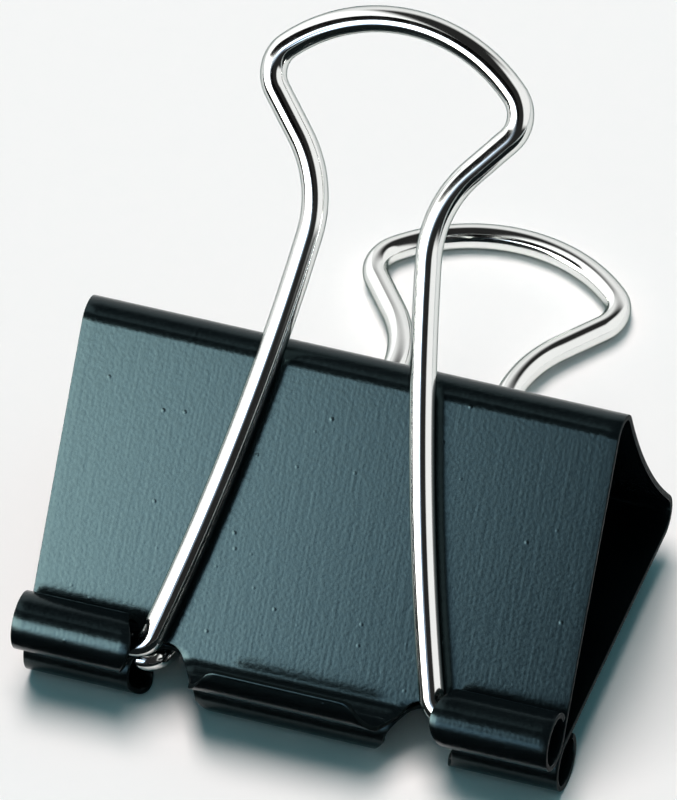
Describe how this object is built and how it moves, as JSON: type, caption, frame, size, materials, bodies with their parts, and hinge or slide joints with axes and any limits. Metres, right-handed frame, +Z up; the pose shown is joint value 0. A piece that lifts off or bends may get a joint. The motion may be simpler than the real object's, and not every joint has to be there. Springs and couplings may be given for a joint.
{
  "type": "foldback clip",
  "caption": "Foldback clip: a black enamelled spring-steel body of triangular section with rolled lips, and loose wire loop handles that fold flat or lever the jaws open.",
  "frame": {"origin": "on the table, under the middle of the clip's box, as it lies on its back barrels and back handle", "axes": "+X along the clip's width, +Y from the lips towards the spine and the folded back handle, +Z up"},
  "size_m": [0.051, 0.0664, 0.054],
  "materials": {
    "enamelled_steel": "satin black stoved enamel on spring steel",
    "plated_wire": "bright nickel plate on round steel wire"
  },
  "bodies": {
    "back_jaw": {"back_jaw": "enamelled_steel"},
    "front_jaw": {"front_jaw": "enamelled_steel"},
    "front_handle": {"front_handle": "plated_wire"},
    "back_handle": {"back_handle": "plated_wire"}
  },
  "joints": [
    {"name": "jaw_opening", "type": "hinge", "parent": "back_jaw", "child": "front_jaw", "pos_m": [0, -0.00388, 0.0163], "axis": [-1, 0, 0], "range_deg": [0, 53], "stiffness_Nm_per_rad": 0.6, "springref_deg": -4.58},
    {"name": "front_handle_swing", "type": "hinge", "parent": "front_jaw", "child": "front_handle", "pos_m": [0, -0.02983, 0.00725], "axis": [1, 0, 0], "range_deg": [0, 150]},
    {"name": "back_handle_swing", "type": "hinge", "parent": "back_jaw", "child": "back_handle", "pos_m": [0, -0.02825, 0.0036], "axis": [-1, 0, 0], "range_deg": [0, 150]}
  ]
}
